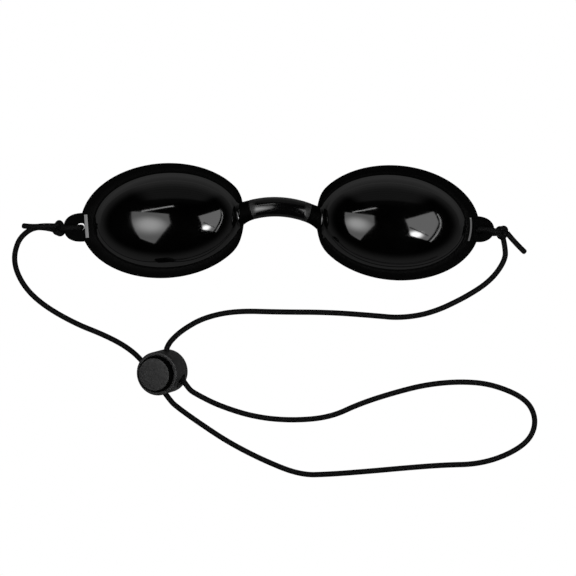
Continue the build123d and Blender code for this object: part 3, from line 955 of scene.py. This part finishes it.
def soft_gloss():
    """The bridge's softer plastic: black, smooth, with a slight drag along the bar. Its last
    two millimetres at each end are left dull, where it was held and glued."""
    material, tree, places, _, mottle = grained(
        "soft_glossy_black", 5200.0, 240.0, stretch=(0.25, 1.0, 1.0))
    parts = node(tree, "ShaderNodeSeparateXYZ", Vector=places.outputs["Object"])
    sideways = reckon(tree, "ABSOLUTE", parts.outputs["X"])
    ends = spread(tree, sideways, 0.0074, 0.0098, 0.0, 0.6, "SMOOTHSTEP")
    rough = reckon(tree, "MAXIMUM", spread(tree, mottle, 0.3, 0.8, 0.10, 0.18), ends)
    colour = tones(tree, mottle, (0.0009, 0.0009, 0.001), (0.0024, 0.0024, 0.0025))
    dress(tree, colour, rough, mottle, 0.3, 0.00004)
    return material


bridge = skin("nose_bridge_bar", bridge_bar(), turned=True, crisp=35.0)
bridge.data.materials.append(soft_gloss())
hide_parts("nose_bridge")
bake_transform(bridge)

# The cord lock: a barrel of matt black plastic with two channels for the cord, a push
# button that fills its bore, and a small steel spring that presses the button up.
lock_middle = np.array([-39.75, -52.5, 6.079])
lock_out = np.array([-0.33325, -0.07694, 0.93969])
lock_along = np.array([0.54047, -0.83225, 0.12353])
lock_across = np.cross(lock_out, lock_along)
barrel_radius, bore_radius = 7.55, 6.3
barrel_bottom, barrel_floor, barrel_lip = -4.0, -3.2, 6.6
barrel_round, barrel_lip_round = 1.0, 0.4
button_radius, button_round, button_top, button_foot = 6.2, 0.8, 9.0, -1.8
well_radius, well_top = 2.15, 4.6
channel_offset, channel_radius, channel_mouth, worn_mouth = 4.4, 1.35, 1.85, 2.8
# how far the cord has worn one mouth upwards, from where along its channel and over what way
worn_rise, worn_from, worn_way = 1.4, 4.6, 1.9
slot_half, slot_corner, slot_middle = (1.35, 1.65), 0.6, 0.65
spring_radius, spring_turns, wire_radius = 1.7, 6, 0.25
spring_foot, spring_height = -2.85, 7.1


def lock_place(points):
    """From the lock's own millimetres, x along its channels and z out of the button, to
    the row frame in metres."""
    x, y, z = (points[..., k:k + 1] for k in range(3))
    return (lock_middle + x * lock_along + y * lock_across + z * lock_out) * 0.001


def turned_shape(profile, sides=144):
    """A profile of (radius, height) pairs turned round the z axis."""
    profile = np.array(profile, float)
    turn = np.linspace(0.0, 2 * np.pi, sides, endpoint=False)
    return np.stack([profile[:, :1] * np.cos(turn), profile[:, :1] * np.sin(turn),
                     np.repeat(profile[:, 1:], sides, axis=1)], axis=-1)


def corner_arc(radius, height, size, start, stop, steps=5):
    """Pairs round a corner: a quarter circle of this size about (radius, height)."""
    turn = np.radians(np.linspace(start, stop, steps))
    return list(zip(radius + size * np.cos(turn), height + size * np.sin(turn)))


def cut_away(body, cutters):
    """Takes closed cutting shapes out of a closed body and keeps the result as its mesh."""
    for cutter in cutters:
        step = body.modifiers.new("cut", "BOOLEAN")
        step.operation = "DIFFERENCE"
        step.solver = "EXACT"
        step.object = cutter
    bpy.context.view_layer.update()
    cut = bpy.data.meshes.new_from_object(
        body.evaluated_get(bpy.context.evaluated_depsgraph_get()))
    body.modifiers.clear()
    body.data = cut
    cut.polygons.foreach_set("use_smooth", np.ones(len(cut.polygons), bool))
    cut.set_sharp_from_angle(angle=np.radians(32.0))
    for cutter in cutters:
        bpy.data.objects.remove(cutter)
    return body


def channel_cutter(title, side):
    """A round bar with a wider mouth at both ends, along the lock's x axis."""
    mouth = worn_mouth if side > 0 else channel_mouth
    profile = [(channel_mouth, -9.0), (channel_mouth, -6.5), (channel_radius, -5.1),
               (channel_radius, worn_from), (mouth, worn_from + worn_way), (mouth, 9.0)]
    shape = turned_shape(profile, 40)
    rise = worn_rise * smooth((shape[..., 2] - worn_from) / worn_way) if side > 0 else 0.0
    lying = np.stack([shape[..., 2], shape[..., 0] + side * channel_offset,
                      shape[..., 1] + rise], axis=-1)
    return skin(title, lock_place(lying))


def matt_plastic(name, dark, light, depth):
    """Spark-textured black plastic: an even pebbled grain, painted lighter on its high
    spots and darker between them as painted light and shade, and worn a little smoother in
    patches."""
    material, tree, places, grain, mottle = grained(name, 3600.0, 420.0)
    pebbles = node(tree, "ShaderNodeTexVoronoi", Vector=places.outputs["Object"], Scale=5200.0)
    relief = reckon(tree, "MULTIPLY_ADD", pebbles.outputs["Distance"], -0.8, grain)
    # painted light and shade: lighter on the pebbles' tops, darker in the pits between them, with
    # the mottle's random tone
    tone = reckon(tree, "MULTIPLY_ADD", relief, 0.5, mottle)
    colour = tones(tree, tone, dark, light, (0.3, 0.9))
    rough = spread(tree, mottle, 0.3, 0.75, 0.62, 0.45)
    dress(tree, colour, rough, relief, 0.45, depth)
    return material


barrel_profile = (
    [(0.01, barrel_bottom), (3.0, barrel_bottom)]
    + corner_arc(barrel_radius - barrel_round, barrel_bottom + barrel_round, barrel_round,
                 -90, 0, 7)
    + [(barrel_radius, height) for height in (-1.5, 0.0, 2.0, 4.0)]
    + corner_arc(barrel_radius - barrel_lip_round, barrel_lip - barrel_lip_round,
                 barrel_lip_round, 0, 90)
    + [(bore_radius + 0.15, barrel_lip), (bore_radius + 0.03, barrel_lip - 0.05)]
    + [(bore_radius, height) for height in (barrel_lip - 0.18, 4.0, 0.0, barrel_floor)]
    + [(3.0, barrel_floor), (0.01, barrel_floor)]
)


def turned_part(name, profile, cutter):
    """A turned part of the lock, without what the cutter takes out on each side."""
    part = skin(name, lock_place(turned_shape(profile)))
    part = cut_away(part, [cutter(name + "_cut_a", -1), cutter(name + "_cut_b", 1)])
    part.data.materials.clear()
    return part


barrel = turned_part("lock_barrel", barrel_profile, channel_cutter)
barrel.data.materials.append(
    matt_plastic("matt_black_barrel", (0.0012, 0.0012, 0.0013), (0.0072, 0.0072, 0.0074), 0.00005))
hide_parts("lock_body")
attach(barrel, "lock")

plunger_profile = (
    [(0.01, well_top)] + [(well_radius, height) for height in (well_top, 0.0, button_foot)]
    + [(4.0, button_foot)]
    + [(button_radius, height) for height in (button_foot, 1.0, 4.0, 6.5)]
    + corner_arc(button_radius - button_round, button_top - button_round, button_round,
                 0, 90, 7)
    + [(3.0, button_top), (0.01, button_top)]
)


def out_of_button(mesh):
    """How far each face looks out along the button: the share of its normal that way."""
    facing = np.empty(3 * len(mesh.polygons))
    mesh.polygons.foreach_get("normal", facing)
    return facing.reshape(-1, 3) @ lock_out


def slot_cutter(title, side):
    """A bar with a rounded oblong section along the lock's x axis, for the button's slot."""
    turn = np.radians(np.arange(0.0, 360.0, 10.0))
    flat = [np.sign(wave) * (half - slot_corner) + slot_corner * wave
            for wave, half in zip((np.cos(turn), np.sin(turn)), slot_half)]
    places = np.array([-7.5, 7.5])[:, None]
    shape = np.stack(np.broadcast_arrays(
        places, flat[0] + side * channel_offset, flat[1] + slot_middle), axis=-1)
    return skin(title, lock_place(shape))


button = turned_part("lock_button", plunger_profile, slot_cutter)
button.data.materials.append(
    matt_plastic("matt_black_button", (0.0050, 0.0050, 0.0052), (0.0140, 0.0140, 0.0143), 0.00004))
# only the button's face has the grain: its round edge and its side are plain and black, painted
# dark for the shade in the gap round the button
button.data.materials.append(satin)
set_finishes(button.data, out_of_button(button.data) < 0.97)
# and the barrel's faces that look up along the button, its lip's top among them, are painted
# lighter with the button's plastic, a painted highlight
barrel.data.materials.append(button.data.materials[0])
set_finishes(barrel.data, out_of_button(barrel.data) > 0.5)
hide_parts("lock_plunger")
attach(button, "plunger")


def spring_rings():
    """A wire along a helix from the barrel's floor up into the button."""
    turn = np.linspace(0.0, spring_turns * 2 * np.pi, 290)
    away = np.stack([np.cos(turn), np.sin(turn), 0 * turn], axis=-1)
    rise = np.stack([0 * turn, 0 * turn, turn / turn[-1]], axis=-1)
    line = spring_radius * away + rise * spring_height + np.array([0.0, 0.0, spring_foot])
    return tube_rings(line, wire_radius, away, 12)


def spring_steel():
    """Drawn spring wire: bright steel with fine streaks and darker oil in patches."""
    material, tree, _, grain, mottle = grained("drawn_spring_steel", 9000.0, 1500.0)
    colour = tones(tree, mottle, (0.32, 0.32, 0.33), (0.60, 0.60, 0.61))
    rough = spread(tree, grain, 0.2, 0.8, 0.22, 0.42)
    dress(tree, colour, rough, grain, 0.3, 0.00001, metallic=1.0)
    return material


spring = skin("lock_spring_wire", lock_place(spring_rings()), crisp=80.0)
spring.data.materials.append(spring_steel())
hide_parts("lock_spring")
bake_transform(spring)

# The studio: a white table, lit so evenly that nothing casts a shadow on it, two lit panels,
# left and right of the camera, that show in the domes, and a dim room.


def glowing(name, strength):
    """A material that only gives off white light."""
    material = bpy.data.materials.new(name)
    material.use_nodes = True
    tree = material.node_tree
    tree.nodes.remove(tree.nodes["Principled BSDF"])
    light = node(tree, "ShaderNodeEmission", Color=(1.0, 1.0, 1.0, 1.0), Strength=strength)
    tree.links.new(light.outputs[0], tree.nodes["Material Output"].inputs["Surface"])
    return material, tree, light


def lit_sheet(name, corners, faces, material, seen=False):
    """A thin sheet of the studio with its corners in metres."""
    mesh = bpy.data.meshes.new(name)
    mesh.from_pydata([tuple(corner) for corner in corners], [], faces)
    mesh.materials.append(material)
    sheet = bpy.data.objects.new(name, mesh)
    bpy.context.scene.collection.objects.link(sheet)
    sheet.visible_camera = seen


table_height, table_half = -0.0004, 3.0
# the table's light as a lamp, in front of the goggles and behind them
table_light = (0.18, 0.30)


def white_table():
    """White to the camera. As a lamp it is dim, dimmer in front of the goggles than behind,
    and the cups shade it close by: that distance is in half lengths and widths of a rim."""
    material, tree, light = glowing("white_table", 1.0)
    place = node(tree, "ShaderNodeTexCoord").outputs["Object"]
    parts = node(tree, "ShaderNodeSeparateXYZ", Vector=place)
    lamp = spread(tree, parts.outputs["Y"], -0.03, 0.03, *table_light)
    distances = []
    per_half = (1000.0 / rim_half[0], 1000.0 / rim_half[1], 0.0)
    for cup_x in (-cup_middle * 0.001, cup_middle * 0.001):
        offset = node(tree, "ShaderNodeVectorMath", operation="SUBTRACT", i0=place,
                      i1=(cup_x, 0.0, table_height))
        offset = node(tree, "ShaderNodeVectorMath", operation="MULTIPLY",
                      i0=offset.outputs[0], i1=per_half)
        distances.append(node(tree, "ShaderNodeVectorMath", operation="LENGTH",
                              i0=offset.outputs[0]).outputs["Value"])
    shade = spread(tree, reckon(tree, "MINIMUM", *distances), 1.0, 2.0, 0.45, 1.0, "SMOOTHSTEP")
    seen = node(tree, "ShaderNodeLightPath").outputs["Is Camera Ray"]
    strength = spread(tree, seen, 0.0, 1.0, reckon(tree, "MULTIPLY", lamp, shade), 1.0)
    tree.links.new(strength, light.inputs["Strength"])
    return material


lit_sheet("table_top", [(x * table_half, y * table_half, table_height)
                        for x, y in ((-1, -1), (1, -1), (1, 1), (-1, 1))],
          [(0, 1, 2, 3)], white_table(), seen=True)


def lit_panel(name, corners, core, lights, fall):
    """A many-cornered panel of light with a brighter spot at its core, whose light falls
    off smoothly over the distance fall. lights are those of the rest and of the spot."""
    material, tree, light = glowing(name, 1.0)
    core = tuple(np.array(core) * 0.001)
    away = node(tree, "ShaderNodeVectorMath", operation="DISTANCE",
                i0=node(tree, "ShaderNodeTexCoord").outputs["Object"], i1=core)
    bright = spread(tree, away.outputs["Value"], 0.0, fall, lights[1], lights[0],
                    "SMOOTHERSTEP")
    tree.links.new(bright, light.inputs["Strength"])
    count = len(corners)
    lit_sheet(name, [*(np.array(corners) * 0.001), core],
              [(k, (k + 1) % count, count) for k in range(count)], material)


lit_panel("left_panel", [(-193, 85, 218), (-44, 61, 328), (-31, -30, 274), (-76, -146, 153),
                         (-115, -104, 150)], (-98, -27, 220), (2.0, 7.0), 0.10)
lit_panel("right_panel", [(98, 30, 285), (163, 79, 136), (214, 18, 180), (164, -125, 176),
                          (100, -89, 212)], (122, -84, 218), (2.8, 30.0), 0.046)
lit_panel("thin_light", [(-167, 88, 278), (-95, 108, 293), (-25, 128, 290), (-26, 138, 285),
                         (-96, 117, 289), (-167, 98, 274)], (-95, 112, 291), (6.0, 6.0), 0.1)

# a dark bar in front of the right panel, and a thin bent strip of light beside it
lit_sheet("dark_bar", np.array([
    (96, -25, 219), (121, -45, 205), (153, -74, 174), (153, -82, 169), (121, -53, 202),
    (96, -33, 217)]) * 0.001, [(0, 1, 4, 5), (1, 2, 3, 4)], glowing("dark_bar", 0.05)[0])
lit_sheet("bent_light", np.array([
    (188, 73, 146), (190, 75, 142), (197, 37, 150), (201, 39, 145), (198, -11, 154),
    (202, -12, 150), (183, -61, 156), (188, -63, 151), (156, -115, 146), (160, -118, 141)
]) * 0.001, [(k, k + 1, k + 3, k + 2) for k in range(0, 8, 2)], glowing("bent_light", 5.0)[0])


def grey_wall():
    """A dim grey wall behind the goggles, faintly striped at its top. Its light adds to what
    is behind it, so that its soft edges end in the room's own light."""
    material, tree, light = glowing("grey_wall", 1.0)
    parts = node(tree, "ShaderNodeSeparateXYZ",
                 Vector=node(tree, "ShaderNodeTexCoord").outputs["Object"])
    height = parts.outputs["Z"]
    sideways = reckon(tree, "ABSOLUTE", reckon(tree, "SUBTRACT", parts.outputs["X"], 0.02))
    sides = spread(tree, sideways, 0.18, 0.36, 1.0, 0.0, "SMOOTHSTEP")
    body = spread(tree, height, 0.42, 0.52, 0.12, 0.0, "SMOOTHSTEP")
    faint = spread(tree, height, 0.55, 0.75, 0.02, 0.0, "SMOOTHSTEP")
    stripes = reckon(tree, "SINE", reckon(tree, "MULTIPLY", height, 110.0))
    stripes = reckon(tree, "MULTIPLY_ADD", stripes, faint, faint)
    strength = reckon(tree, "MULTIPLY", reckon(tree, "ADD", body, stripes), sides)
    tree.links.new(strength, light.inputs["Strength"])
    clear = node(tree, "ShaderNodeBsdfTransparent")
    both = node(tree, "ShaderNodeAddShader", i0=light.outputs[0], i1=clear.outputs[0])
    tree.links.new(both.outputs[0], tree.nodes["Material Output"].inputs["Surface"])
    return material


lit_sheet("back_wall", [(-0.36, 0.40, 0.0), (0.40, 0.40, 0.0), (0.40, 0.40, 0.75),
                        (-0.36, 0.40, 0.75)], [(0, 1, 2, 3)], grey_wall())

world = bpy.data.worlds.new("studio")
bpy.context.scene.world = world
world.use_nodes = True
sky = world.node_tree
backdrop = sky.nodes["Background"]
backdrop.inputs["Color"].default_value = (1.0, 1.0, 1.0, 1.0)
heading = node(sky, "ShaderNodeTexCoord")
parts = node(sky, "ShaderNodeSeparateXYZ", Vector=heading.outputs["Generated"])
# the table's shine goes on above the horizon and fades out by 28 degrees
above = np.sin(np.radians(28.0))
horizon = spread(sky, parts.outputs["Z"], 0.0, above, table_light[0], 0.0, "SMOOTHSTEP")
seen = node(sky, "ShaderNodeLightPath").outputs["Is Camera Ray"]
dim = spread(sky, seen, 0.0, 1.0, reckon(sky, "ADD", horizon, 0.002), 1.0)
sky.links.new(dim, backdrop.inputs["Strength"])

bpy.context.scene.view_settings.view_transform = "Standard"
